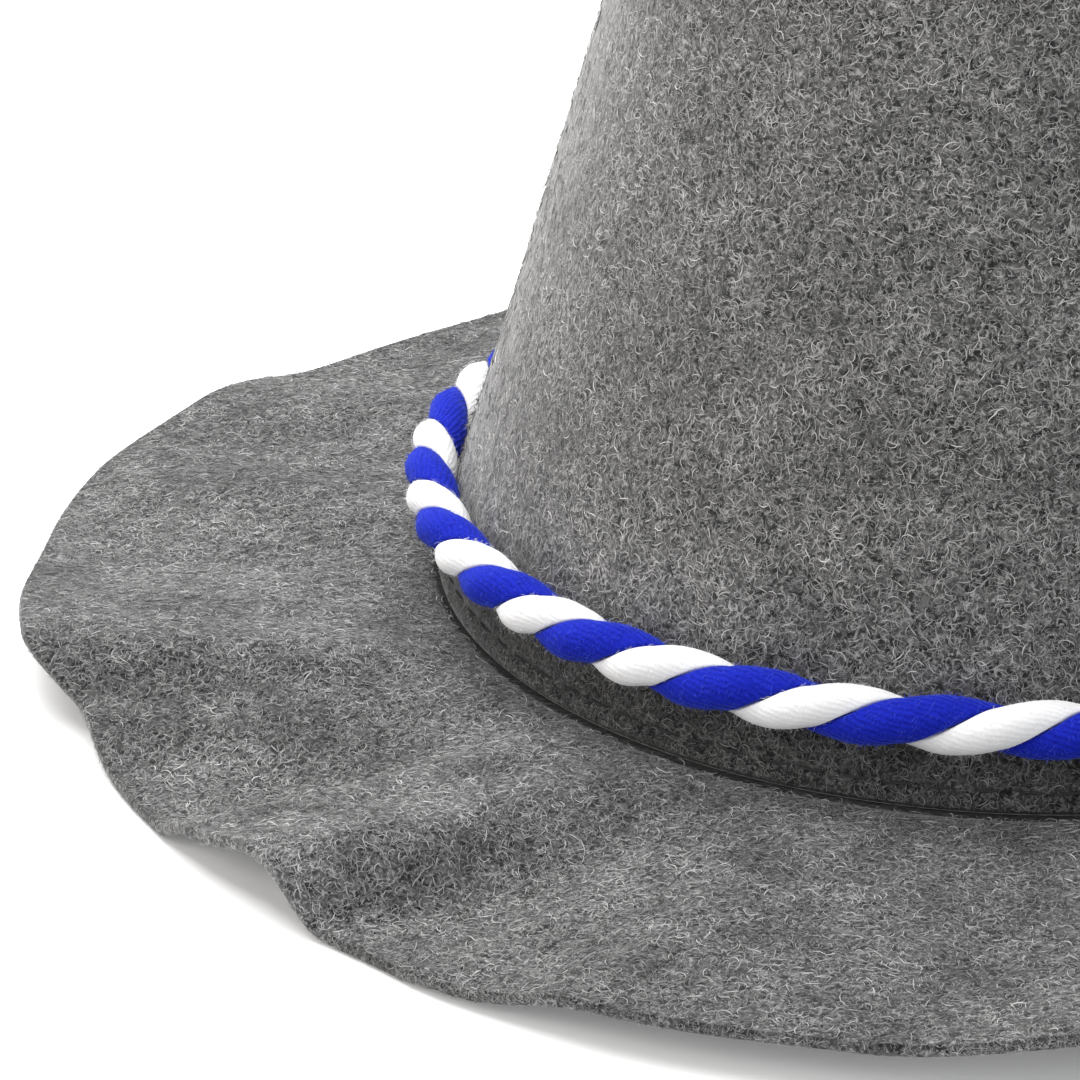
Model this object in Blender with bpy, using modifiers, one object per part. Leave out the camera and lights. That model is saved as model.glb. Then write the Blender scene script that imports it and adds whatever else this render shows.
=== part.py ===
# Tyrolean hat: a felt cone and a wavy felt brim, with a two-strand twisted cord round the crown's foot.
# Metres, +Z up. The hat rests on the brim's lowest folds at z = 0. Angles run round the crown from the front
# (-Y), in degrees, positive towards +X.
import math
from collections import namedtuple

import bmesh
import bpy

# Crown: a straight cone that ends in a round cap
CROWN_FOOT_RADIUS = 0.092
CROWN_HEIGHT = 0.165
CROWN_LEAN = math.radians(16.0)
FELT_THICKNESS = 0.0018

# Seam between crown and brim, with the brim's turned-up edge hidden behind the crown's foot
SEAM_HEIGHT = 0.010
COLLAR_HEIGHT = 0.012
PIECE_GAP = 0.0003
FOLD_SHARE = 0.65

# Brim
BRIM_WIDTH = 0.064
FOLD_GROWTH = 1.3
RING_SHARES = (0.0, 0.20, 0.42, 0.64, 0.85, 1.0)

# Cord: two strands twisted round each other
CORD_WIDTH = 0.0086
CORD_HEIGHT = 0.0138
CORD_TURNS = 23
STRAND_GAP = 0.0003
STRAND_BREADTH = 0.0062
WHITE_START = math.radians(-1.0)

# The twist isn't even: it runs ahead and falls back by the drift, in a few waves round the hat
LAY_DRIFT = math.radians(40.0)
LAY_WAVES = 3
LAY_PLACE = math.radians(57.0)

# Facets
COLUMNS = 90
COLUMN_STEP = 360 / COLUMNS
CAP_RINGS = 5
CONE_RINGS = 2
SECTIONS_PER_TURN = 8
STRAND_SIDES = 7
SHARP_EDGE = math.radians(50)
MERGE_DISTANCE = 0.00005

# The brim's folds, one row for each crest, dip or place where its edge turns. lift is the height of the
# edge's underside as a share of the seam's height, and below 0 it presses the felt flat on the surface.
# reach is the edge's distance from the seam as a share of the brim's width.
Fold = namedtuple("Fold", "angle lift reach")
FOLDS = (
    Fold(-131, -0.35, 0.965),
    Fold(-111, 0.55, 0.970),
    Fold(-98, 0.50, 1.010),
    Fold(-88, 0.50, 1.015),
    Fold(-71, 0.98, 1.050),
    Fold(-65, 0.38, 0.950),
    Fold(-54, -0.45, 0.960),
    Fold(-48, 0.42, 0.970),
    Fold(-42, 0.80, 0.970),
    Fold(-34, -0.45, 0.965),
    Fold(-28, 0.05, 0.985),
    Fold(-19, 0.48, 0.985),
    Fold(-6, 0.52, 0.970),
    Fold(9, 0.95, 0.980),
    Fold(27, -0.35, 0.970),
    Fold(44, 0.70, 0.985),
    Fold(58, 0.30, 1.000),
    Fold(74, 0.95, 1.040),
    Fold(92, -0.35, 0.990),
    Fold(110, 0.75, 1.000),
    Fold(129, -0.35, 0.980),
    Fold(150, 0.80, 0.985),
    Fold(172, 0.15, 0.985),
    Fold(200, 0.75, 0.985),
)

FELT_GREY = (0.185, 0.185, 0.190)
CORD_BLUE = (0.010, 0.022, 0.560)
CORD_WHITE = (0.870, 0.875, 0.880)
FELT_ROUGHNESS = 0.95
CORD_ROUGHNESS = 0.75


def crown_radius(height, depth=0.0):
    """Radius of the cone at a height over the seam, at a depth under its outer face."""
    return CROWN_FOOT_RADIUS - height * math.tan(CROWN_LEAN) - depth / math.cos(CROWN_LEAN)


def cap_circle():
    """Height of the cap's centre over the seam, and its radius, where it meets the cone smoothly."""
    lean = CROWN_LEAN
    radius = (CROWN_FOOT_RADIUS * math.cos(lean) - CROWN_HEIGHT * math.sin(lean)) / (1 - math.sin(lean))
    return CROWN_HEIGHT - radius, radius


def crown_side(depth):
    """Points from the cap's top down to the foot, at a depth under the felt's outer face."""
    centre, radius = cap_circle()
    points = []
    for i in range(CAP_RINGS + 1):
        turn = math.radians(90) + (CROWN_LEAN - math.radians(90)) * i / CAP_RINGS
        reach = radius - depth
        points.append((reach * math.cos(turn), centre + reach * math.sin(turn)))
    points[0] = (0.0, points[0][1])
    shoulder = points[-1][1]
    for i in range(1, CONE_RINGS + 1):
        height = shoulder * (1 - i / CONE_RINGS)
        points.append((crown_radius(height, depth), height))
    return points


def eased_fold(angle, column):
    """Value of a column of FOLDS at an angle, eased from row to row all the way round."""
    first = FOLDS[0].angle
    angle = (angle - first) % 360 + first
    rows = FOLDS + (FOLDS[0]._replace(angle=first + 360),)
    for here, there in zip(rows, rows[1:]):
        if here.angle <= angle <= there.angle:
            way = (angle - here.angle) / (there.angle - here.angle)
            ease = (1 - math.cos(math.pi * way)) / 2
            return getattr(here, column) * (1 - ease) + getattr(there, column) * ease
    raise ValueError("the folds leave a gap round the brim")


def brim_point(share, angle):
    """Point of the brim's underside at a share of its width, 0 at the seam and 1 at the cut edge."""
    seam_level = SEAM_HEIGHT - PIECE_GAP - FELT_THICKNESS
    radius = CROWN_FOOT_RADIUS + share * BRIM_WIDTH * eased_fold(angle, "reach")
    lift = SEAM_HEIGHT * eased_fold(angle, "lift")
    height = seam_level + (lift - seam_level) * share ** FOLD_GROWTH
    turn = math.radians(angle)
    return radius * math.sin(turn), -radius * math.cos(turn), max(height, 0.0)


def brim_middle():
    """Middle of the cut edge's box in X and Y, which becomes the hat's own middle."""
    edge = [brim_point(1.0, COLUMN_STEP * i) for i in range(COLUMNS)]
    xs = [point[0] for point in edge]
    ys = [point[1] for point in edge]
    return (min(xs) + max(xs)) / 2, (min(ys) + max(ys)) / 2


def material(name, colour, roughness):
    made = bpy.data.materials.new(name)
    made.use_nodes = True
    shader = made.node_tree.nodes["Principled BSDF"]
    shader.inputs["Base Color"].default_value = (*colour, 1.0)
    shader.inputs["Roughness"].default_value = roughness
    shader.inputs["Metallic"].default_value = 0.0
    made.diffuse_color = (*colour, 1.0)
    return made


def add_piece(name, bm, collection, parent, finish):
    """A named object from a bmesh, shaded smooth, under the hat's empty."""
    mesh = bpy.data.meshes.new(name)
    bm.to_mesh(mesh)
    bm.free()
    mesh.shade_smooth()
    mesh.set_sharp_from_angle(angle=SHARP_EDGE)
    mesh.materials.append(finish)
    piece = bpy.data.objects.new(name, mesh)
    piece.parent = parent
    collection.objects.link(piece)
    return piece


def crown(collection, parent, finish):
    """The felt cone: down the outer face, across the foot and up the inner face, turned round Z."""
    outer = crown_side(0.0)
    inner = crown_side(FELT_THICKNESS)
    bm = bmesh.new()
    points = [bm.verts.new((r, 0.0, SEAM_HEIGHT + z)) for r, z in outer + inner[::-1]]
    for upper, lower in zip(points, points[1:]):
        bm.edges.new((upper, lower))
    piece = add_piece("crown", bm, collection, parent, finish)
    screw = piece.modifiers.new("turned", "SCREW")
    screw.steps = COLUMNS
    screw.render_steps = COLUMNS
    screw.use_merge_vertices = True
    screw.merge_threshold = MERGE_DISTANCE
    screw.use_smooth_shade = True
    return piece


def collar_profile():
    """Inner face of the turned-up edge, from its top down round the fold to the brim's underside."""
    depth = 2 * FELT_THICKNESS + PIECE_GAP
    underside = -PIECE_GAP - FELT_THICKNESS
    fold = FOLD_SHARE * FELT_THICKNESS
    corner = crown_radius(underside, depth)
    return (
        (crown_radius(COLLAR_HEIGHT, depth), COLLAR_HEIGHT),
        (crown_radius(underside + fold, depth), underside + fold),
        (corner + fold, underside),
    )


def brim(collection, parent, finish):
    """The inner and under face spun round Z and pressed into folds, then thickened into felt."""
    collar = collar_profile()
    underside = collar[-1][1]
    rings = tuple((CROWN_FOOT_RADIUS + share * BRIM_WIDTH, underside) for share in RING_SHARES)
    bm = bmesh.new()
    points = [bm.verts.new((0.0, -r, SEAM_HEIGHT + z)) for r, z in collar + rings]
    edges = [bm.edges.new(pair) for pair in zip(points, points[1:])]
    bmesh.ops.spin(
        bm, geom=points + edges, cent=(0, 0, 0), axis=(0, 0, 1), angle=math.tau, steps=COLUMNS,
        use_merge=True,
    )
    for vert in bm.verts:
        share = (math.hypot(vert.co.x, vert.co.y) - CROWN_FOOT_RADIUS) / BRIM_WIDTH
        if share > RING_SHARES[1] / 2:
            vert.co = brim_point(share, math.degrees(math.atan2(vert.co.x, -vert.co.y)))
    piece = add_piece("brim", bm, collection, parent, finish)
    thicken = piece.modifiers.new("felt", "SOLIDIFY")
    thicken.thickness = FELT_THICKNESS
    thicken.offset = 1.0
    thicken.use_even_offset = True
    thicken.use_quality_normals = True
    return piece


def strand_ring(step, count, start):
    """One section of a strand: an oval beside the cord's middle line, turned with the lay."""
    along = math.tau * step / count
    phase = CORD_TURNS * along + LAY_DRIFT * math.sin(LAY_WAVES * (along + LAY_PLACE)) + start
    out_of = CORD_WIDTH / 2
    thickness = (out_of - STRAND_GAP / 2) / 2
    offset = out_of - thickness
    middle = crown_radius(CORD_HEIGHT) + (out_of + PIECE_GAP) / math.cos(CROWN_LEAN)
    ring = []
    for side in range(STRAND_SIDES):
        turn = math.tau * (side + 0.5) / STRAND_SIDES
        away = offset + thickness * math.cos(turn)
        across = STRAND_BREADTH / 2 * math.sin(turn)
        radius = middle + away * math.cos(phase) - across * math.sin(phase)
        height = SEAM_HEIGHT + CORD_HEIGHT + away * math.sin(phase) + across * math.cos(phase)
        ring.append((radius * math.sin(along), -radius * math.cos(along), height))
    return ring


def strand(name, start, collection, parent, finish):
    """One strand of the cord, lofted section by section into a closed loop round the crown."""
    count = CORD_TURNS * SECTIONS_PER_TURN
    bm = bmesh.new()
    rings = [[bm.verts.new(point) for point in strand_ring(i, count, start)] for i in range(count)]
    for here, there in zip(rings, rings[1:] + rings[:1]):
        for side in range(STRAND_SIDES):
            after = (side + 1) % STRAND_SIDES
            bm.faces.new((here[side], here[after], there[side]))
            bm.faces.new((here[after], there[after], there[side]))
    bmesh.ops.recalc_face_normals(bm, faces=bm.faces)
    return add_piece(name, bm, collection, parent, finish)


def main():
    for leftover in list(bpy.data.objects):
        bpy.data.objects.remove(leftover)
    hat = bpy.data.collections.new("tyrolean_hat")
    bpy.context.scene.collection.children.link(hat)
    middle_x, middle_y = brim_middle()
    axis = bpy.data.objects.new("hat_axis", None)
    axis.location = (-middle_x, -middle_y, 0.0)
    hat.objects.link(axis)
    crown_felt = material("crown_felt", FELT_GREY, FELT_ROUGHNESS)
    brim_felt = material("brim_felt", FELT_GREY, FELT_ROUGHNESS)
    white_yarn = material("white_yarn", CORD_WHITE, CORD_ROUGHNESS)
    blue_yarn = material("blue_yarn", CORD_BLUE, CORD_ROUGHNESS)
    crown(hat, axis, crown_felt)
    brim(hat, axis, brim_felt)
    strand("cord_white_strand", WHITE_START, hat, axis, white_yarn)
    strand("cord_blue_strand", WHITE_START + math.pi, hat, axis, blue_yarn)
    bpy.context.view_layer.update()


main()
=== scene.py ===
# Tyrolean hat in grey wool felt, with a blue and white twisted cord round the crown
import math

import bpy
import numpy as np
from mathutils import Matrix, Vector


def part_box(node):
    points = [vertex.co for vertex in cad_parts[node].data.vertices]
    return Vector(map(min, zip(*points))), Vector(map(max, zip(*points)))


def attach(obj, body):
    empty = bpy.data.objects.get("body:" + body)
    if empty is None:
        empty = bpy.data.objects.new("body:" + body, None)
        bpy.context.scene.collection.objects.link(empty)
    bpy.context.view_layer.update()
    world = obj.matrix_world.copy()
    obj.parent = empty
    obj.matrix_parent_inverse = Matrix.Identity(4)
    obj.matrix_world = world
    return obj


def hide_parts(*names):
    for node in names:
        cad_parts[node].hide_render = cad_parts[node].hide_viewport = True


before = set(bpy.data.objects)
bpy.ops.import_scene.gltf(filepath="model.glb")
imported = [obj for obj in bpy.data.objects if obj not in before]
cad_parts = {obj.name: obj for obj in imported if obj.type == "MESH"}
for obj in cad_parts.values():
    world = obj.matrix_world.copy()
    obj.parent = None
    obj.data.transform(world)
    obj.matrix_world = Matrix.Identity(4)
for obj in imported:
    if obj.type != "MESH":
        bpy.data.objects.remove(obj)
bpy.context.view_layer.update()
bpy.ops.object.select_all(action="DESELECT")
print("frame loaded")

mm = 0.001
crownLow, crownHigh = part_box("crown")
hatAxis = np.array([(crownLow.x + crownHigh.x) / 2, (crownLow.y + crownHigh.y) / 2, 0.0]) / mm

# ---- camera, at the photograph's angle
view = {
    "eye": (0.0, -639.5, 294.7),  # from the crown's axis, mm
    "yaw": math.radians(-6.7318),
    "pitch": math.radians(23.9833),
    "roll": math.radians(0.2992),
    "lens": 141.842,
    "sensor": 36.0,
}


def placeCamera():
    yaw = view["yaw"]
    pitch = view["pitch"]
    roll = view["roll"]
    forward = Vector((
        math.sin(yaw) * math.cos(pitch), math.cos(yaw) * math.cos(pitch), -math.sin(pitch)
    ))
    right = forward.cross(Vector((0, 0, 1))).normalized()
    up = right.cross(forward)
    turnedRight = right * math.cos(roll) + up * math.sin(roll)
    turnedUp = up * math.cos(roll) - right * math.sin(roll)
    lens = bpy.data.cameras.new("hatCamera")
    lens.lens = view["lens"]
    lens.sensor_width = view["sensor"]
    lens.clip_start = 0.01
    lens.clip_end = 50.0
    camera = bpy.data.objects.new("hatCamera", lens)
    bpy.context.scene.collection.objects.link(camera)
    turn = Matrix((turnedRight, turnedUp, -forward)).transposed().to_4x4()
    eye = (Vector(view["eye"]) + Vector(hatAxis)) * mm
    camera.matrix_world = Matrix.Translation(eye) @ turn
    bpy.context.scene.camera = camera


placeCamera()
print("camera placed")


# ---- small helpers for node materials
class Nodes:
    def __init__(self, name):
        self.material = bpy.data.materials.new(name)
        self.material.use_nodes = True
        self.tree = self.material.node_tree
        self.shader = self.tree.nodes["Principled BSDF"]
        self.at = self.add("ShaderNodeTexCoord").outputs["Object"]

    def add(self, kind, **settings):
        made = self.tree.nodes.new(kind)
        for key, value in settings.items():
            setattr(made, key, value)
        return made

    def plug(self, socket, value):
        if isinstance(value, bpy.types.NodeSocket):
            self.tree.links.new(value, socket)
        else:
            socket.default_value = value

    def sum(self, operation, first, second=0.0, third=0.0):
        made = self.add("ShaderNodeMath", operation=operation)
        for socket, value in zip(made.inputs, (first, second, third)):
            self.plug(socket, value)
        return made.outputs[0]

    def vector(self, operation, first, second=(0, 0, 0), scale=None):
        made = self.add("ShaderNodeVectorMath", operation=operation)
        self.plug(made.inputs[0], first)
        if scale is None:
            self.plug(made.inputs[1], second)
        else:
            self.plug(made.inputs["Scale"], scale)
        return made.outputs[0]

    def noise(self, where, scale, detail=0.0, rough=0.5, colour=False):
        made = self.add("ShaderNodeTexNoise", noise_dimensions="3D")
        self.plug(made.inputs["Vector"], where)
        made.inputs["Scale"].default_value = scale
        made.inputs["Detail"].default_value = detail
        made.inputs["Roughness"].default_value = rough
        return made.outputs["Color" if colour else "Fac"]

    def ramp(self, value, low, high, toLow=0.0, toHigh=1.0, smooth=True):
        made = self.add("ShaderNodeMapRange", interpolation_type="SMOOTHSTEP" if smooth else "LINEAR")
        self.plug(made.inputs["Value"], value)
        made.inputs["From Min"].default_value = low
        made.inputs["From Max"].default_value = high
        made.inputs["To Min"].default_value = toLow
        made.inputs["To Max"].default_value = toHigh
        return made.outputs[0]

    def mix(self, share, first, second):
        made = self.add("ShaderNodeMix", data_type="RGBA")
        self.plug(made.inputs[0], share)
        self.plug(made.inputs[6], first)
        self.plug(made.inputs[7], second)
        return made.outputs[2]

    def bump(self, height, strength, distance):
        made = self.add("ShaderNodeBump")
        self.plug(made.inputs["Height"], height)
        made.inputs["Strength"].default_value = strength
        made.inputs["Distance"].default_value = distance
        self.plug(self.shader.inputs["Normal"], made.outputs[0])

    def finish(self, **constants):
        for key, value in constants.items():
            self.shader.inputs[key.replace("_", " ")].default_value = value
        return self.material


def grey(value, warm=0.0):
    return (value * (1 + warm), value, value * (1 - warm), 1.0)


# ---- felt
feltLook = {
    # tones, from the deepest holes, painted darkest as shade, to the loose strands
    "shadedPit": 0.020,
    "ground": 0.072,
    "mat": 0.18,
    "strand": 0.42,
    # scales of the noises, per metre
    "warpScale": 330.0,
    "fineScale": 1350.0,
    "holeScale": 560.0,
    "patchScale": 72.0,
    "warp": 0.0010,
    # nets of fine strands: noise scale per metre, half width of each line
    "nets": ((520.0, 0.024), (760.0, 0.028), (1150.0, 0.036)),
    "thinning": 0.198,
    "bumpStrength": 0.5,
    "bumpDistance": 0.00020,
    # painted shade: the cord's shadow on the crown and the shadow in the seam, each with its start, its
    # end and its darkest share: two by the height over the table and one by the distance from the hat's
    # axis, in metres
    "cordShadow": (0.020, 0.031, 0.50),
    "footSeamShadow": (0.0101, 0.0108, 0.06),
    "brimSeamShadow": (0.0920, 0.0928, 0.02),
}


def paintedFootShadow(n):
    # painted shade: the cord's shadow darkens the felt below it, and the crown's seam is painted near
    # black as its shadow
    height = n.add("ShaderNodeSeparateXYZ")
    n.plug(height.inputs[0], n.at)
    seam = n.ramp(height.outputs[2], *feltLook["footSeamShadow"])
    return n.sum("MULTIPLY", n.ramp(height.outputs[2], *feltLook["cordShadow"]), seam)


def paintedSeamShadow(n):
    # painted shadow: the brim is painted dark in the seam, right beside the crown's foot
    flat = n.vector("MULTIPLY", n.vector("SUBTRACT", n.at, tuple(hatAxis * mm)), (1, 1, 0))
    away = n.add("ShaderNodeVectorMath", operation="LENGTH")
    n.plug(away.inputs[0], flat)
    return n.ramp(away.outputs["Value"], *feltLook["brimSeamShadow"])


def feltPatch(n, least, most):
    # lighter and darker places of the felt, the same for its loose strands
    patches = n.noise(n.at, feltLook["patchScale"], 3.0, rough=0.72)
    return n.ramp(patches, 0.34, 0.66, least, most, smooth=False)


def feltMaterial(name, tone, patch, sheen, warm=0.0, foot=False):
    n = Nodes(name)
    push = n.vector("SUBTRACT", n.noise(n.at, feltLook["warpScale"], colour=True), (0.5, 0.5, 0.5))
    where = n.vector("ADD", n.at, n.vector("SCALE", push, scale=feltLook["warp"]))
    # each net is where any of a noise's three channels passes its middle value
    strands = None
    for i, (scale, half) in enumerate(feltLook["nets"]):
        place = n.vector("ADD", where, (0.137 * (i + 1), -0.091 * (i + 1), 0.053 * (i + 1)))
        away = n.vector("SUBTRACT", n.noise(place, scale, colour=True), (0.5, 0.5, 0.5))
        parts = n.add("ShaderNodeSeparateXYZ")
        n.plug(parts.inputs[0], n.vector("ABSOLUTE", away))
        # the third channel thins the lines of the first two, so that they end
        nearest = n.sum("MINIMUM", parts.outputs[0], parts.outputs[1])
        thinned = n.sum("MULTIPLY_ADD", parts.outputs[2], feltLook["thinning"], nearest)
        line = n.ramp(thinned, half * 0.3, half * 1.1, 1.0, 0.0)
        strands = line if strands is None else n.sum("MAXIMUM", strands, line)
    fine = n.noise(where, feltLook["fineScale"], 1.0, rough=0.6)
    holes = n.ramp(n.noise(where, feltLook["holeScale"], 1.0), 0.38, 0.60)
    # painted shade: the holes, which the bump sinks, get the darkest tone
    ground = n.mix(holes, grey(feltLook["shadedPit"], warm), grey(feltLook["ground"], warm))
    ground = n.mix(n.sum("MULTIPLY", n.ramp(fine, 0.42, 0.68), 0.7), ground, grey(feltLook["mat"], warm))
    felt = n.mix(n.sum("MULTIPLY", strands, 0.8), ground, grey(feltLook["strand"], warm))
    shade = n.sum("MULTIPLY", feltPatch(n, *patch), tone)
    # painted shade: with foot set, the cord's shadow and the crown's seam shadow; otherwise the brim's
    # seam shadow
    shade = n.sum("MULTIPLY", shade, paintedFootShadow(n) if foot else paintedSeamShadow(n))
    n.plug(n.shader.inputs["Base Color"], n.vector("SCALE", felt, scale=shade))
    n.bump(n.sum("MULTIPLY_ADD", holes, 0.6, fine), feltLook["bumpStrength"], feltLook["bumpDistance"])
    return n.finish(
        Roughness=1.0, Specular_IOR_Level=0.10, Sheen_Weight=sheen, Sheen_Roughness=0.45,
        Sheen_Tint=(0.8, 0.8, 0.8, 1.0),
    )


def curlMaterial(name, low, high, patch, warm=0.0, foot=False):
    # loose strands, each with its own tone
    n = Nodes(name)
    tone = n.add("ShaderNodeAttribute", attribute_name="tone").outputs["Fac"]
    shade = feltPatch(n, *patch)
    if foot:
        # the crown's strands carry the same painted shadow under the cord and in the seam
        shade = n.sum("MULTIPLY", shade, paintedFootShadow(n))
    colour = n.mix(tone, grey(low, warm), grey(high, warm))
    n.plug(n.shader.inputs["Base Color"], n.vector("SCALE", colour, scale=shade))
    return n.finish(Roughness=0.85, Specular_IOR_Level=0.2, Sheen_Weight=0.35)


# ---- yarn
yarnLook = {
    "wobbleScale": 420.0,
    "wobble": 1.1,
    "fibreScale": 2600.0,
    "grooveShadeShare": 0.28,
    "fibreShare": (0.12, 0.55),
    "bumpDistance": 0.00026,
}


def yarnMaterial(name, deep, bright, plies, ridges, strength, rim):
    n = Nodes(name)
    uv = n.add("ShaderNodeUVMap", uv_map="strandMap").outputs[0]
    split = n.add("ShaderNodeSeparateXYZ")
    n.plug(split.inputs[0], uv)
    # the yarn's ridges run slantwise over the strand, a little unevenly; the base colour is darker in the
    # grooves between them, which is painted shade
    turnsAlong = n.sum("MULTIPLY", split.outputs[1], float(ridges))
    turns = n.sum("MULTIPLY_ADD", split.outputs[0], float(plies), turnsAlong)
    drift = n.sum("SUBTRACT", n.noise(n.at, yarnLook["wobbleScale"], 1.0), 0.5)
    wobble = n.sum("MULTIPLY", drift, yarnLook["wobble"])
    wave = n.sum("COSINE", n.sum("MULTIPLY", n.sum("ADD", turns, wobble), math.tau))
    ridge = n.sum("MULTIPLY_ADD", wave, 0.5, 0.5)
    fibres = n.noise(n.at, yarnLook["fibreScale"], 1.0, rough=0.6)
    loose = n.ramp(fibres, 0.35, 0.65, *yarnLook["fibreShare"])
    # painted shade: the ridge wave darkens the colour in the grooves, on top of the bump
    share = n.sum("MULTIPLY_ADD", ridge, yarnLook["grooveShadeShare"], loose)
    n.plug(n.shader.inputs["Base Color"], n.mix(share, deep, bright))
    height = n.sum("MULTIPLY_ADD", ridge, 0.8, n.sum("MULTIPLY", fibres, 0.5))
    n.bump(height, strength, yarnLook["bumpDistance"])
    return n.finish(
        Roughness=0.9, Specular_IOR_Level=0.12, Sheen_Weight=0.35, Sheen_Roughness=0.4,
        Sheen_Tint=rim,
    )


def plainYarn(name, colour):
    n = Nodes(name)
    tone = n.add("ShaderNodeAttribute", attribute_name="tone").outputs["Fac"]
    dark = tuple(c * 0.7 for c in colour[:3]) + (1.0,)
    n.plug(n.shader.inputs["Base Color"], n.mix(tone, dark, colour))
    return n.finish(Roughness=0.9, Specular_IOR_Level=0.15, Sheen_Weight=0.3)


# the crown and the brim are one felt: the brim's lower tone and its strands' darker range are painted
# shade, a darker copy that offsets the stronger light on the brim's upper face
crownPatch = (0.80, 1.20)
brimPatch = (0.66, 1.34)
crownWool = feltMaterial("crownWool", 0.82, crownPatch, 0.60, warm=0.012, foot=True)
brimWool = feltMaterial("brimWool", 0.71, brimPatch, 0.35)
crownCurlWool = curlMaterial("crownCurlWool", 0.08, 0.56, crownPatch, warm=0.012, foot=True)
brimCurlWool = curlMaterial("brimCurlWool", 0.07, 0.48, brimPatch)
blueYarn = yarnMaterial(
    "blueYarn", (0.003, 0.007, 0.25, 1), (0.010, 0.024, 0.50, 1), 22, 724, 0.45, (0.16, 0.26, 0.85, 1)
)
whiteYarn = yarnMaterial(
    "whiteYarn", (0.76, 0.76, 0.78, 1), (0.88, 0.88, 0.88, 1), 22, 724, 0.24, (0.9, 0.9, 0.9, 1)
)
blueLoose = plainYarn("blueLoose", (0.04, 0.08, 0.75, 1))
whiteLoose = plainYarn("whiteLoose", (0.9, 0.9, 0.9, 1))
print("materials made")


# ---- meshes from arrays and from spun outlines
def meshFromArrays(name, points, corners, finish, uvName=None, uv=None, tone=None):
    # points in mm, corners as rows of three or four vertex numbers
    sides = corners.shape[1]
    mesh = bpy.data.meshes.new(name)
    mesh.vertices.add(len(points))
    mesh.vertices.foreach_set("co", (points * mm).astype(np.float32).ravel())
    mesh.loops.add(corners.size)
    mesh.loops.foreach_set("vertex_index", corners.astype(np.int32).ravel())
    mesh.polygons.add(len(corners))
    mesh.polygons.foreach_set("loop_start", np.arange(0, corners.size, sides, dtype=np.int32))
    mesh.polygons.foreach_set("use_smooth", np.ones(len(corners), bool))
    mesh.update(calc_edges=True)
    if uvName:
        layer = mesh.uv_layers.new(name=uvName)
        layer.data.foreach_set("uv", uv.astype(np.float32).ravel())
    if tone is not None:
        made = mesh.attributes.new("tone", "FLOAT", "POINT")
        made.data.foreach_set("value", tone.astype(np.float32))
    mesh.validate()
    mesh.materials.append(finish)
    piece = bpy.data.objects.new(name, mesh)
    bpy.context.scene.collection.objects.link(piece)
    return piece


def spunPiece(name, outline, columns, finish):
    # the outline is drawn point by point as one chain of edges, then spun round Z
    bpy.ops.object.select_all(action="DESELECT")
    bpy.ops.mesh.primitive_plane_add(size=0.002, location=(0, 0, 0))
    piece = bpy.context.active_object
    piece.name = name
    piece.data.name = name
    bpy.ops.object.mode_set(mode="EDIT")
    bpy.ops.mesh.select_all(action="SELECT")
    bpy.ops.mesh.merge(type="CENTER")
    steps = np.diff(outline, axis=0, prepend=np.zeros((1, 2))) * mm
    bpy.ops.transform.translate(value=(steps[0][0], 0, steps[0][1]))
    for across, up in steps[1:]:
        bpy.ops.mesh.extrude_region_move(TRANSFORM_OT_translate={"value": (across, 0, up)})
    bpy.ops.mesh.select_all(action="SELECT")
    bpy.ops.mesh.spin(steps=columns, angle=math.tau, center=(0, 0, 0), axis=(0, 0, 1), use_auto_merge=True)
    bpy.ops.mesh.select_all(action="SELECT")
    bpy.ops.mesh.remove_doubles(threshold=0.000002)
    bpy.ops.object.mode_set(mode="OBJECT")
    piece.data.materials.append(finish)
    return piece


def shapeRings(piece, outline, grid):
    # grid[ring, column] is where each point of the spun outline goes, in mm
    mesh = piece.data
    count = len(mesh.vertices)
    spots = np.empty(count * 3)
    mesh.vertices.foreach_get("co", spots)
    spots = spots.reshape(-1, 3) / mm
    radius = np.hypot(spots[:, 0], spots[:, 1])
    columns = grid.shape[1]
    turn = np.arctan2(spots[:, 0], -spots[:, 1]) / math.tau * columns
    column = np.round(turn).astype(int) % columns
    ring = np.empty(count, int)
    for i in range(count):
        gap = (outline[:, 0] - radius[i]) ** 2 + (outline[:, 1] - spots[i, 2]) ** 2
        ring[i] = np.argmin(gap)
    mesh.vertices.foreach_set("co", (grid[ring, column] * mm).astype(np.float32).ravel())
    mesh.update()


def outwardAndSmooth(piece, angle):
    bpy.ops.object.select_all(action="DESELECT")
    bpy.context.view_layer.objects.active = piece
    piece.select_set(True)
    bpy.ops.object.mode_set(mode="EDIT")
    bpy.ops.mesh.select_all(action="SELECT")
    bpy.ops.mesh.normals_make_consistent(inside=False)
    bpy.ops.object.mode_set(mode="OBJECT")
    bpy.ops.object.shade_smooth_by_angle(angle=angle)
    piece.select_set(False)


def unit(vectors, least=1e-6):
    return vectors / np.maximum(np.linalg.norm(vectors, axis=-1, keepdims=True), least)


def gridNormals(grid, sign):
    across = np.roll(grid, -1, axis=1) - np.roll(grid, 1, axis=1)
    along = np.gradient(grid, axis=0)
    return unit(np.cross(along, across) * sign, 1e-9)


def ringPoints(radius, height, angle):
    turn = np.radians(angle)
    return np.stack([radius * np.sin(turn), -radius * np.cos(turn), height + 0 * turn], axis=-1) + hatAxis


# soft unevenness of hand-pressed felt: waves with whole turns round the hat
def feltWaves(seed, count, slow, fast, spacing):
    rng = np.random.default_rng(seed)
    turns = rng.integers(slow, fast, count)
    slopes = rng.uniform(-1, 1, count) * math.tau / spacing
    return turns, slopes, rng.uniform(0, math.tau, count), 1 / np.sqrt(turns)


def uneven(waves, angle, along):
    turns, slopes, phases, heights = waves
    total = 0.0
    for turn, slope, phase, height in zip(turns, slopes, phases, heights):
        total = total + height * np.sin(np.radians(angle) * turn + along * slope + phase)
    return total / heights.sum() * 2


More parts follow.
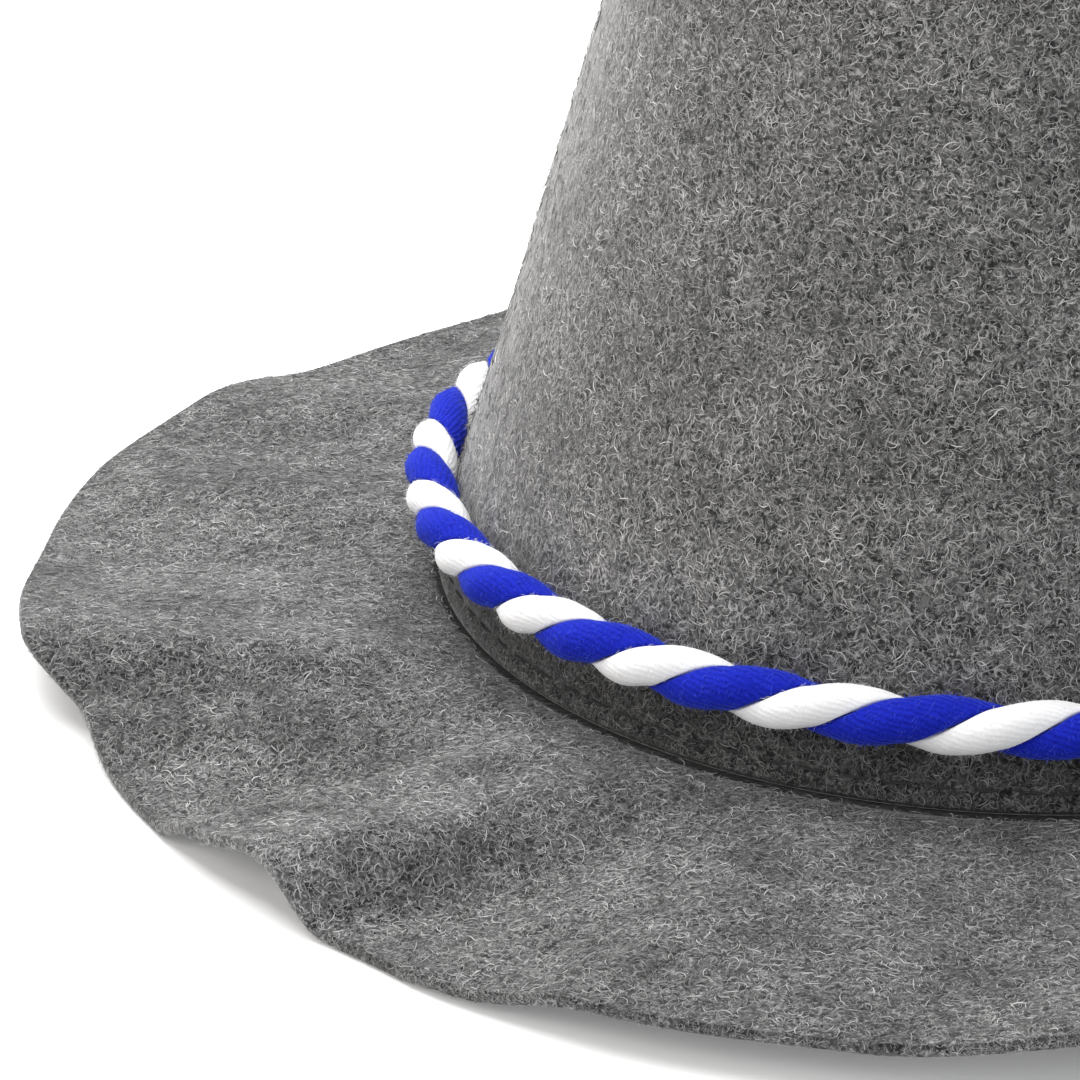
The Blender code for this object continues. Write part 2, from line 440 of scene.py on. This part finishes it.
# ---- crown
crownCut = {
    "footRadius": 92.0,
    "height": 165.0,
    "seam": 10.0,
    "lean": math.radians(16),
    "felt": 1.8,
    "columns": 200,
    "footRound": 0.7,  # how far the foot curls in at the seam
    "footRise": 1.9,
    "groove": (3.2, 0.35, 0.8),  # the stitches' groove: height over the seam, depth, half width
    "unevenness": 0.30,
    # it sets in over the foot, from one height over a length, and ends round the top's middle
    "unevenFrom": 8.0,
    "unevenOver": 25.0,
    "unevenTop": 30.0,
}
crownWaves = feltWaves(11, 26, 2, 22, 45.0)


def coneRadius(height, depth=0.0):
    lean = crownCut["lean"]
    return crownCut["footRadius"] - height * math.tan(lean) - depth / math.cos(lean)


def capCircle():
    lean = crownCut["lean"]
    foot = crownCut["footRadius"]
    radius = (foot * math.cos(lean) - crownCut["height"] * math.sin(lean)) / (1 - math.sin(lean))
    return crownCut["height"] - radius, radius


def crownOutline(depth, heights, capSteps):
    # from the foot up the cone and over the cap to the pole
    centre, radius = capCircle()
    points = [(coneRadius(h, depth), h) for h in heights]
    turns = np.linspace(crownCut["lean"], math.pi / 2, capSteps + 1)
    points += [((radius - depth) * math.cos(t), centre + (radius - depth) * math.sin(t)) for t in turns]
    points[-1] = (0.0, points[-1][1])
    return np.array(points)


def crownPiece():
    centre, radius = capCircle()
    shoulder = centre + radius * math.sin(crownCut["lean"])
    low = np.concatenate([[0.0, 0.15, 0.35, 0.6, 0.9], np.arange(1.3, 6.2, 0.4)])
    high = np.linspace(6.5, shoulder, 31)[:-1]
    outer = crownOutline(0.0, np.concatenate([low, high]), 20)
    inner = crownOutline(crownCut["felt"], np.linspace(0.0, shoulder, 14)[:-1], 10)
    outline = np.concatenate([inner[::-1], outer])
    outline[:, 1] += crownCut["seam"]
    columns = crownCut["columns"]
    angle = np.arange(columns) * 360 / columns
    grid = ringPoints(outline[:, :1], outline[:, 1:], angle[None, :])
    # the outer face: the foot curls in, the groove of the stitches, and the felt's unevenness
    first = len(inner)
    face = grid[first:]
    out = gridNormals(face, -1.0)
    out[-1] = (0, 0, 1)
    height = outer[:, 1:] + 0 * angle[None, :]
    along = np.concatenate([[0], np.cumsum(np.hypot(*np.diff(outer, axis=0).T))])[:, None]
    fade = np.clip((height - crownCut["unevenFrom"]) / crownCut["unevenOver"], 0, 1)
    fade = fade * np.clip(outer[:, :1] / crownCut["unevenTop"], 0, 1)
    push = crownCut["unevenness"] * uneven(crownWaves, angle[None, :], along) * fade
    curl = np.clip(1 - height / crownCut["footRise"], 0, 1)
    push = push - crownCut["footRound"] * (1 - np.sqrt(np.clip(1 - curl ** 2, 0, 1)))
    where, deep, half = crownCut["groove"]
    push = push - deep * np.exp(-(((height - where) / half) ** 2))
    face += out * push[..., None]
    piece = spunPiece("crownFelt", outline, columns, crownWool)
    shapeRings(piece, outline, grid)
    outwardAndSmooth(piece, math.radians(60))
    return piece, face, out


crownFelt, crownFace, crownOut = crownPiece()
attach(crownFelt, "root")
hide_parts("crown")
print("crown made", len(crownFelt.data.polygons))

# ---- brim
brimCut = {
    "width": 64.0,
    "growth": 1.3,
    "skew": 10.0,  # how far the folds lean round the hat from the edge to the crown, degrees
    "landing": 1.5,  # how softly the felt meets the table
    "gap": 0.3,
    "collar": 12.0,
    "fold": 0.65,
    "edgeRound": 0.25,
    "columns": 480,
    "rings": 33,
    "unevenness": 0.35,
    "seamDrop": (0.45, 1.2),  # how deep the top dips beside the seam, and how far out
    # one row for each crest, dip or turn of the edge: angle from the front, lift as a share of
    # the seam's height, reach as a share of the width
    "folds": (
        (-131, -0.35, 0.965), (-111, 0.55, 0.970), (-98, 0.50, 1.010), (-88, 0.50, 1.015),
        (-71, 0.98, 1.050), (-65, 0.38, 0.950), (-54, -0.45, 0.960), (-48, 0.42, 0.970),
        (-42, 0.80, 0.970), (-34, -0.45, 0.965), (-28, 0.05, 0.985), (-19, 0.48, 0.985),
        (-6, 0.52, 0.970), (9, 0.95, 0.980), (27, -0.35, 0.970), (44, 0.70, 0.985),
        (58, 0.30, 1.000), (74, 0.95, 1.040), (92, -0.35, 0.990), (110, 0.75, 1.000),
        (129, -0.35, 0.980), (150, 0.80, 0.985), (172, 0.15, 0.985), (200, 0.75, 0.985),
    ),
}
# low ridges and dips between the edge and the crown: angle at the edge, angle at the crown,
# height in mm, half width in degrees
brimRidges = (
    (-132, -129, 1.6, 5.0), (-119, -116.5, 4.0, 5.0), (-108, -106, -2.4, 5.0), (-97, -94, 2.0, 4.0),
    (-86, -83, -2.0, 5.0), (-70, -59.5, 1.9, 4.5), (-60, -52, -0.8, 4.0), (-46, -41, 1.4, 3.2),
    (-20, -14, 1.0, 5.0), (8, 3, -0.9, 6.0), (31, 26, 1.4, 5.0), (57, 52, -1.2, 6.0), (83, 80, 1.5, 5.0),
    (107, 104, -1.2, 6.0), (139, 136, 1.6, 6.0), (166, 163, -1.2, 6.0), (190, 187, 1.4, 6.0),
)
brimWaves = feltWaves(23, 30, 5, 34, 55.0)
foldRows = np.array(brimCut["folds"])


def easedFold(angle, column):
    first = foldRows[0, 0]
    wrapped = (angle - first) % 360 + first
    angles = np.append(foldRows[:, 0], first + 360)
    values = np.append(foldRows[:, column], foldRows[0, column])
    row = np.clip(np.searchsorted(angles, wrapped, side="right") - 1, 0, len(foldRows) - 1)
    way = (wrapped - angles[row]) / (angles[row + 1] - angles[row])
    ease = (1 - np.cos(math.pi * way)) / 2
    return values[row] * (1 - ease) + values[row + 1] * ease


def brimUnder(share, angle):
    seam = crownCut["seam"]
    level = seam - brimCut["gap"] - crownCut["felt"]
    radius = crownCut["footRadius"] + share * brimCut["width"] * easedFold(angle, 2)
    lift = seam * easedFold(angle - brimCut["skew"] * (1 - share), 1)
    height = level + (lift - level) * share ** brimCut["growth"]
    height = height + brimCut["unevenness"] * uneven(brimWaves, angle, share * brimCut["width"]) * share
    # the ridges fade out at the crown and at the edge
    middle = np.sin(math.pi * share ** 0.85) * (0.4 + 0.6 * share)
    for edge, foot, lift, half in brimRidges:
        away = (angle - edge * share - foot * (1 - share) + 180) % 360 - 180
        height = height + lift * middle * np.exp(-((away / half) ** 2))
    # where the felt would pass the table it lies down on it softly
    soft = brimCut["landing"] * share
    height = (height + np.sqrt(height ** 2 + soft ** 2)) / 2 - 0.04 * soft
    return ringPoints(radius, np.maximum(height, 0.0), angle)


def brimPiece():
    felt = crownCut["felt"]
    seam = crownCut["seam"]
    foot = crownCut["footRadius"]
    columns = brimCut["columns"]
    angle = (np.arange(columns) * 360 / columns)[None, :]
    shares = np.linspace(0, 1, brimCut["rings"])
    under = brimUnder(shares[:, None], angle)
    out = gridNormals(under, 1.0)
    # the top runs on a little way under the crown's foot
    topShares = np.concatenate([[-0.012, 0.0, 0.004, 0.009, 0.015, 0.022], shares[1:]])
    near = topShares * (len(shares) - 1)
    low = np.clip(near.astype(int), 0, len(shares) - 2)
    way = (near - low)[:, None, None]
    top = under[low] * (1 - way) + under[low + 1] * way
    up = out[low] * (1 - way) + out[low + 1] * way
    top = top + up * felt
    deep, far = brimCut["seamDrop"]
    away = np.maximum(topShares, 0)[:, None] * brimCut["width"]
    top[..., 2] -= deep * np.exp(-((away / far) ** 2))
    # the cut edge is a little rounded
    edge = [under[-1] + (top[-1] - under[-1]) * s for s in (0.25, 0.75)]
    outwards = unit(under[-1] - under[-2])
    edge = np.stack([ring + outwards * brimCut["edgeRound"] for ring in edge])
    # the turned-up edge hidden behind the crown's foot
    depth = 2 * felt + brimCut["gap"]
    base = -brimCut["gap"] - felt
    fold = brimCut["fold"] * felt
    inside = [
        (coneRadius(brimCut["collar"], depth), brimCut["collar"]),
        (coneRadius(base + fold, depth), base + fold),
        (coneRadius(base, depth) + fold, base),
    ]
    shallow = felt + brimCut["gap"]
    outside = [
        (coneRadius(-brimCut["gap"], shallow) + 0.1, -brimCut["gap"] - deep),
        (coneRadius(0.6, shallow), 0.6),
        (coneRadius(brimCut["collar"], shallow), brimCut["collar"]),
    ]
    insideRings = np.stack([ringPoints(r, seam + z, angle[0]) for r, z in inside])
    outsideRings = np.stack([ringPoints(r, seam + z, angle[0]) for r, z in outside])
    grid = np.concatenate([insideRings, under, edge, top[::-1], outsideRings])
    # the flat outline that is spun before the folds are pressed in
    flat = [(r, seam + z) for r, z in inside]
    flat += [(foot + s * brimCut["width"], seam + base) for s in shares]
    rim = foot + brimCut["width"] + brimCut["edgeRound"]
    flat += [(rim, seam + base + felt * s) for s in (0.25, 0.75)]
    flat += [(foot + s * brimCut["width"], seam + base + felt) for s in topShares[::-1]]
    flat += [(r, seam + z) for r, z in outside]
    closed = np.array(flat + flat[:1])
    piece = spunPiece("brimFelt", closed, columns, brimWool)
    shapeRings(piece, closed[:-1], grid)
    outwardAndSmooth(piece, math.radians(60))
    return piece, top, up, np.concatenate([under[-1:], edge, top[-1:]])


brimFelt, brimTop, brimUp, brimRim = brimPiece()
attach(brimFelt, "root")
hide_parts("brim")
print("brim made", len(brimFelt.data.polygons))

# ---- cord: two strands laid round each other
cordLay = {
    "width": 8.6,
    "height": 14.2,
    "turns": 23,
    # the twist runs ahead and falls back in a few waves round the hat
    "drift": math.radians(40),
    "waves": 3,
    "place": math.radians(57),
    "gap": 0.1,
    "whiteStart": math.radians(-1),
    # half breadth, the widest place's distance from the cord's middle, the inner face's distance
    "blueShape": (3.32, 1.05, -0.35),
    "whiteShape": (3.08, 1.35, 0.35),
    "boxy": 6.0,
    "swell": 0.022,
    "sides": 24,
    "sectionsPerTurn": 40,
}


def strandGrid(start, seed, shape):
    sides = cordLay["sides"]
    count = cordLay["turns"] * cordLay["sectionsPerTurn"]
    along = (np.arange(count) * math.tau / count)[:, None]
    turn = (np.arange(sides) * math.tau / sides)[None, :]
    half = cordLay["width"] / 2
    middle = coneRadius(cordLay["height"]) + (half + brimCut["gap"]) / math.cos(crownCut["lean"])
    waves = feltWaves(seed, 14, 20, 160, 9.0)
    swell = 1 + cordLay["swell"] * uneven(waves, np.degrees(along), 0.0)
    lead = cordLay["drift"] * np.sin(cordLay["waves"] * (along + cordLay["place"]))
    phase = cordLay["turns"] * along + lead + start
    # round on the outside, flat where the two strands press together
    broad, centre, flat = shape
    flat = flat + cordLay["gap"] / 2
    power = 2 / cordLay["boxy"]
    cosine = np.cos(turn)
    sine = np.sin(turn)
    inner = cosine < 0
    shapedCosine = np.where(inner, -np.abs(cosine) ** power, cosine)
    shapedSine = np.where(inner, np.sign(sine) * np.abs(sine) ** power, sine)
    depth = np.where(inner, centre - flat, half - centre)
    away = centre + depth * shapedCosine * np.where(inner, 1, swell)
    across = broad * shapedSine * swell
    radius = middle + away * np.cos(phase) - across * np.sin(phase)
    height = crownCut["seam"] + cordLay["height"] + away * np.sin(phase) + across * np.cos(phase)
    return ringPoints(radius, height, np.degrees(along) + 0 * turn)


def strandPiece(name, start, seed, shape, finish):
    grid = strandGrid(start, seed, shape)
    count, sides = grid.shape[:2]
    number = np.arange(count * sides).reshape(count, sides)
    after = np.roll(number, -1, axis=1)
    corners = np.stack([number, after, np.roll(after, -1, axis=0), np.roll(number, -1, axis=0)], axis=-1)
    u = np.arange(sides)[None, :] / sides + 0 * np.arange(count)[:, None]
    v = np.arange(count)[:, None] / count + 0 * u
    wide = 1 / sides
    long = 1 / count
    uv = np.stack([
        np.stack([u, v], -1), np.stack([u + wide, v], -1),
        np.stack([u + wide, v + long], -1), np.stack([u, v + long], -1),
    ], axis=2)
    piece = meshFromArrays(
        name, grid.reshape(-1, 3), corners.reshape(-1, 4), finish, "strandMap", uv.reshape(-1, 2)
    )
    outwardAndSmooth(piece, math.radians(80))
    return piece, grid


cordBlue, blueGrid = strandPiece(
    "cordBlue", cordLay["whiteStart"] + math.pi, 5, cordLay["blueShape"], blueYarn
)
cordWhite, whiteGrid = strandPiece("cordWhite", cordLay["whiteStart"], 6, cordLay["whiteShape"], whiteYarn)
for strand, node, slot in (
    (cordBlue, "cord_blue_strand", "blue_yarn"),
    (cordWhite, "cord_white_strand", "white_yarn"),
):
    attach(strand, "root")
    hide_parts(node)
print("cord made", len(cordBlue.data.polygons) * 2)

# ---- stitches round the crown's foot
stitchRow = {
    "count": 90,
    "height": 3.2,
    "length": 4.2,
    "radius": 0.19,
    "proud": 0.08,
    "tuck": 0.35,  # how far the ends go into the felt
    # chance differences: place and length as shares, slant in mm
    "placing": 0.06,
    "reach": (0.85, 1.1),
    "slant": 0.12,
    # half height of the band kept clear, and the share of strands left out of it
    "clear": (0.42, 0.92),
    "sides": 6,
    "steps": 7,
}


def stitchPiece():
    steps = stitchRow["steps"]
    sides = stitchRow["sides"]
    rng = np.random.default_rng(31)
    blocks = []
    faces = []
    for i in range(stitchRow["count"]):
        middle = 360 * (i + rng.uniform(-stitchRow["placing"], stitchRow["placing"])) / stitchRow["count"]
        reach = stitchRow["length"] * rng.uniform(*stitchRow["reach"])
        slant = rng.uniform(-stitchRow["slant"], stitchRow["slant"])
        s = np.linspace(-1, 1, steps)
        height = stitchRow["height"] + slant * s
        radius = coneRadius(height) - crownCut["groove"][1]
        out = stitchRow["radius"] + stitchRow["proud"] - stitchRow["tuck"] * np.abs(s) ** 3
        angle = middle + np.degrees(s * reach / 2 / radius)
        thick = stitchRow["radius"] * np.sqrt(np.clip(1 - (s * 0.97) ** 4, 0.02, 1))
        turn = (np.arange(sides) * math.tau / sides)[None, :]
        ring = ringPoints(
            (radius + out)[:, None] + thick[:, None] * np.cos(turn),
            crownCut["seam"] + height[:, None] + thick[:, None] * np.sin(turn),
            angle[:, None] + 0 * turn,
        )
        first = len(blocks) * steps * sides
        blocks.append(ring.reshape(-1, 3))
        number = first + np.arange(steps * sides).reshape(steps, sides)
        after = np.roll(number, -1, axis=1)
        quads = np.stack([number[:-1], after[:-1], after[1:], number[1:]], -1).reshape(-1, 4)
        faces.append(np.concatenate([quads[:, [0, 1, 2]], quads[:, [0, 2, 3]]]))
        for end in (number[0], number[-1][::-1]):
            faces.append(np.array([(end[0], end[k + 1], end[k]) for k in range(1, sides - 1)]))
    n = Nodes("darkThread")
    twist = n.noise(n.at, 3000.0, 1.0)
    n.plug(n.shader.inputs["Base Color"], n.mix(twist, grey(0.02), grey(0.06)))
    thread = n.finish(Roughness=0.8, Specular_IOR_Level=0.2)
    piece = meshFromArrays("seamStitches", np.concatenate(blocks), np.concatenate(faces), thread)
    outwardAndSmooth(piece, math.radians(60))
    return piece


seamStitches = stitchPiece()
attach(seamStitches, "root")
print("stitches made")

# ---- loose curled strands of wool, laid over the felt's own faces
curlMake = {
    "length": (1.4, 3.3),
    "halfWidth": (0.048, 0.090),
    "bend": (0.25, 1.25),  # curl in radians per mm, least and most
    "tilt": 0.9,
    "lift": (0.0, 0.13),
    "arch": 0.16,
    "strayShare": 0.04,
    "stray": (0.3, 0.8),
}
# the brim's strands stand up more than the pressed ones of the crown
brimCurlMake = dict(curlMake, tilt=1.2, lift=(0.0, 0.18), arch=0.34, strayShare=0.16, stray=(0.3, 0.8))
curlSteps = 5
curlChange = 0.45  # how much a strand's curl changes along it
rootDepth = 0.03


def sampleGrid(grid, ring, column, wrapRings=False):
    rings, columns = grid.shape[:2]
    ring = ring % rings if wrapRings else np.clip(ring, 0, rings - 1.001)
    low = ring.astype(int)
    way = (ring - low)[..., None]
    high = (low + 1) % rings
    column = column % columns
    left = column.astype(int) % columns
    side = (column - np.floor(column))[..., None]
    right = (left + 1) % columns
    near = grid[low, left] * (1 - side) + grid[low, right] * side
    far = grid[high, left] * (1 - side) + grid[high, right] * side
    return near * (1 - way) + far * way


def scatter(grid, count, rng, wrapRings):
    # places spread evenly over the face, and the steps of the grid there
    rings, columns = grid.shape[:2]
    acrossStep = np.linalg.norm(np.roll(grid, -1, axis=1) - grid, axis=2)
    alongStep = np.linalg.norm(np.roll(grid, -1, axis=0) - grid, axis=2)
    if not wrapRings:
        alongStep[-1] = alongStep[-2]
    area = acrossStep * alongStep
    if not wrapRings:
        area[-1] = 0
    heap = np.cumsum(area.ravel())
    pick = np.searchsorted(heap, rng.random(count) * heap[-1])
    pick = np.minimum(pick, rings * columns - 1)
    ring = pick // columns + rng.random(count)
    column = pick % columns + rng.random(count)
    acrossHere = np.maximum(acrossStep.ravel()[pick], 0.05)
    return ring, column, alongStep.ravel()[pick], acrossHere, alongStep


def curlPaths(make, count, rng):
    # curled lines on a flat sheet, round their own middles
    length = rng.uniform(*make["length"], count)
    heading = rng.uniform(0, math.tau, count)
    bend = rng.uniform(*make["bend"], count) * rng.choice([-1, 1], count)
    change = rng.normal(0, curlChange, count)
    x = np.zeros((count, curlSteps))
    y = np.zeros((count, curlSteps))
    step = length / (curlSteps - 1)
    for i in range(1, curlSteps):
        x[:, i] = x[:, i - 1] + step * np.cos(heading)
        y[:, i] = y[:, i - 1] + step * np.sin(heading)
        heading = heading + bend * step
        bend = bend + change * step
    x -= x.mean(axis=1, keepdims=True)
    y -= y.mean(axis=1, keepdims=True)
    return x, y


def curlLift(make, wild, rng):
    # how far each point of each strand is off the felt
    count = len(wild)
    way = np.linspace(0, 1, curlSteps)[None, :]
    lift = rng.uniform(*make["lift"], count)[:, None] + 0 * way
    lift = lift + make["arch"] * rng.random(count)[:, None] * np.sin(math.pi * way)
    free = rng.random(count) < make["strayShare"] + 0.5 * wild
    rise = np.where(free, rng.uniform(*make["stray"], count) * (1 + 0.6 * wild), 0.0)
    lift = lift + rise[:, None] * way ** 1.6
    lift[:, 0] -= rootDepth
    return lift


def ribbons(spot, normal, make, rng):
    count = len(spot)
    side = unit(np.cross(normal, unit(np.gradient(spot, axis=1))))
    tilt = rng.uniform(-make["tilt"], make["tilt"], count)[:, None, None]
    side = side * np.cos(tilt) + normal * np.sin(tilt)
    narrowing = np.array([0.75, 1.0, 0.75])[None, :, None]
    wide = rng.uniform(*make["halfWidth"], count)[:, None, None] * narrowing
    left = spot[:, 1:4] + side[:, 1:4] * wide
    right = spot[:, 1:4] - side[:, 1:4] * wide
    # eight points a strand: the first tip, three on the right, three on the left, the last tip
    points = np.concatenate([spot[:, :1], right, left, spot[:, 4:]], axis=1)
    pattern = np.array([
        (0, 1, 4), (1, 2, 5), (1, 5, 4), (2, 3, 6), (2, 6, 5), (3, 7, 6),
    ])
    corners = (pattern[None] + 8 * np.arange(count)[:, None, None]).reshape(-1, 3)
    return points.reshape(-1, 3), corners


def ribbonMap(count, corners):
    # each strand has its own small place on the map
    across = math.ceil(math.sqrt(count))
    cell = np.stack([np.arange(count) % across, np.arange(count) // across], -1)[:, None, :]
    spots = np.array([
        (0.1, 0.5), (0.3, 0.2), (0.5, 0.2), (0.7, 0.2), (0.3, 0.8), (0.5, 0.8), (0.7, 0.8), (0.9, 0.5),
    ])[None]
    return ((cell + spots) / across).reshape(-1, 2)[corners.ravel()]


def curls(name, grid, out, count, seed, finish, uneasy=None, bare=None, make=curlMake, wrapRings=False):
    # uneasy(points) gives how wild each strand is, from 0, lying flat, to 1, standing up
    # bare(points) gives the chance that a strand is left out
    rng = np.random.default_rng(seed)
    firstRing, firstColumn, alongHere, acrossHere, alongStep = scatter(grid, count, rng, wrapRings)
    x, y = curlPaths(make, count, rng)
    if wrapRings:
        ring = firstRing[:, None] + y / alongHere[:, None]
    else:
        # the rings lie closer together beside the seam, so strands are measured along the felt
        heights = np.concatenate([[0], np.cumsum(alongStep[:-1].mean(axis=1))])
        numbers = np.arange(len(grid))
        start = np.interp(firstRing, numbers, heights)
        ring = np.interp(start[:, None] + y, heights, numbers)
    column = firstColumn[:, None] + x / acrossHere[:, None]
    spot = sampleGrid(grid, ring, column, wrapRings)
    normal = unit(sampleGrid(out, ring, column, wrapRings))
    if bare is not None:
        kept = rng.random(count) > bare(spot).max(axis=1)
        spot = spot[kept]
        normal = normal[kept]
        count = len(spot)
    wild = np.zeros(count) if uneasy is None else uneasy(spot[:, 0])
    spot = spot + normal * curlLift(make, wild, rng)[..., None]
    points, corners = ribbons(spot, normal, make, rng)
    tone = np.repeat(rng.beta(1.3, 1.9, count), 8)
    piece = meshFromArrays(name, points, corners, finish, "OFBake", ribbonMap(count, corners), tone)
    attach(piece, "root")
    return piece


cordTop = 29.0  # height of the cord's upper side on the crown
cordTopReach = 2.5


def crownUneasy(spot):
    # strands stand up where the cord presses the felt
    return np.exp(-(((spot[:, 2] - cordTop) / cordTopReach) ** 2))


def overStitches(spot):
    # most strands that would hide the row of stitches are left out
    half, leftOut = stitchRow["clear"]
    away = spot[:, :, 2] - crownCut["seam"] - stitchRow["height"]
    return leftOut * (np.abs(away) < half)


strandShare = 1.0
onFoot = {"uneasy": crownUneasy, "bare": overStitches}
onBrim = {"make": brimCurlMake}
# name, face, outward directions, number of strands, seed, finish, slot, how they lie
curlPieces = (
    ("crownCurlsLow", crownFace[3:34], crownOut[3:34], 31000, 41, crownCurlWool, "crown_felt", onFoot),
    ("crownCurlsHigh", crownFace[33:], crownOut[33:], 28500, 42, crownCurlWool, "crown_felt", {}),
    ("brimCurlsInner", brimTop[1:25], brimUp[1:25], 25000, 43, brimCurlWool, "brim_felt", onBrim),
    ("brimCurlsOuter", brimTop[24:], brimUp[24:], 23000, 44, brimCurlWool, "brim_felt", onBrim),
)
for name, grid, out, count, seed, finish, slot, lie in curlPieces:
    piece = curls(name, grid, out, int(count * strandShare), seed, finish, **lie)
print("felt curls laid")

# the brim's cut edge is slightly frayed
frayMake = {
    "length": (0.5, 1.6),
    "halfWidth": (0.028, 0.048),
    "bend": (0.1, 1.2),
    "tilt": 1.3,
    "lift": (0.0, 0.08),
    "arch": 0.10,
    "strayShare": 0.35,
    "stray": (0.10, 0.45),
}
# the two middle rings of the edge look away from the felt just inside it
rimAngles = np.arange(brimCut["columns"]) * 360 / brimCut["columns"]
justInside = brimUnder(0.97, rimAngles)
rimOut = brimRim - brimRim.mean(axis=0, keepdims=True)
rimOut[1:3] += 1.5 * (brimRim[1:3] - justInside[None])
rimOut = unit(rimOut)
brimFray = curls("brimFray", brimRim, rimOut, int(5000 * strandShare), 45, brimCurlWool, make=frayMake)
print("brim edge frayed")

fuzzMake = {
    "length": (0.6, 1.5),
    "halfWidth": (0.020, 0.034),
    "bend": (0.5, 2.4),
    "tilt": 1.4,
    "lift": (0.0, 0.05),
    "arch": 0.10,
    "strayShare": 0.9,
    "stray": (0.20, 0.85),
}
for name, grid, seed, finish, slot in (
    ("blueFuzz", blueGrid, 51, blueLoose, "blue_yarn"),
    ("whiteFuzz", whiteGrid, 52, whiteLoose, "white_yarn"),
):
    # out of the strand's own middle line
    out = unit(grid - grid.mean(axis=1, keepdims=True))
    piece = curls(name, grid, out, int(9000 * strandShare), seed, finish, make=fuzzMake, wrapRings=True)
print("yarn fuzz laid")

# ---- floor, light and world
studio = {
    "floorSize": 12.0,
    "floorTone": 0.93,
    "floorGlow": 0.13,  # a white table lit from below as well
    "room": 0.36,  # light from all round
    "backdrop": 1.0,  # how bright the same room looks to the camera
    # name, place, size, watts, colour
    "lamps": (
        ("topBox", (-0.30, 0.36, 0.95), 1.2, 24.0, (1.0, 0.995, 0.985)),
        ("leftBox", (-1.25, -0.45, 0.60), 0.8, 8.0, (1.0, 0.965, 0.92)),
        ("frontBox", (1.0, -1.15, 0.70), 1.0, 9.0, (0.96, 0.98, 1.0)),
    ),
}


def makeStudio():
    bpy.ops.mesh.primitive_plane_add(size=studio["floorSize"], location=(0, 0, -0.0002))
    floor = bpy.context.active_object
    floor.name = "studioFloor"
    n = Nodes("paleFloor")
    n.finish(
        Base_Color=(studio["floorTone"],) * 3 + (1.0,), Roughness=0.9, Specular_IOR_Level=0.1,
        Emission_Color=(1.0, 1.0, 1.0, 1.0), Emission_Strength=studio["floorGlow"],
    )
    floor.data.materials.append(n.material)
    for name, place, size, watts, colour in studio["lamps"]:
        light = bpy.data.lights.new(name, "AREA")
        light.size = size
        light.energy = watts
        light.color = colour
        lamp = bpy.data.objects.new(name, light)
        lamp.location = place
        lamp.rotation_euler = (Vector((0, 0, 0.05)) - Vector(place)).to_track_quat("-Z", "Y").to_euler()
        bpy.context.scene.collection.objects.link(lamp)
    world = bpy.data.worlds.new("paleRoom")
    world.use_nodes = True
    tree = world.node_tree
    back = tree.nodes["Background"]
    back.inputs["Color"].default_value = (1, 1, 1, 1)
    ray = tree.nodes.new("ShaderNodeLightPath")
    level = tree.nodes.new("ShaderNodeMapRange")
    level.inputs["To Min"].default_value = studio["room"]
    level.inputs["To Max"].default_value = studio["backdrop"]
    tree.links.new(ray.outputs["Is Camera Ray"], level.inputs["Value"])
    tree.links.new(level.outputs[0], back.inputs["Strength"])
    bpy.context.scene.world = world
    bpy.context.scene.view_settings.view_transform = "Standard"


makeStudio()
print("studio lit")
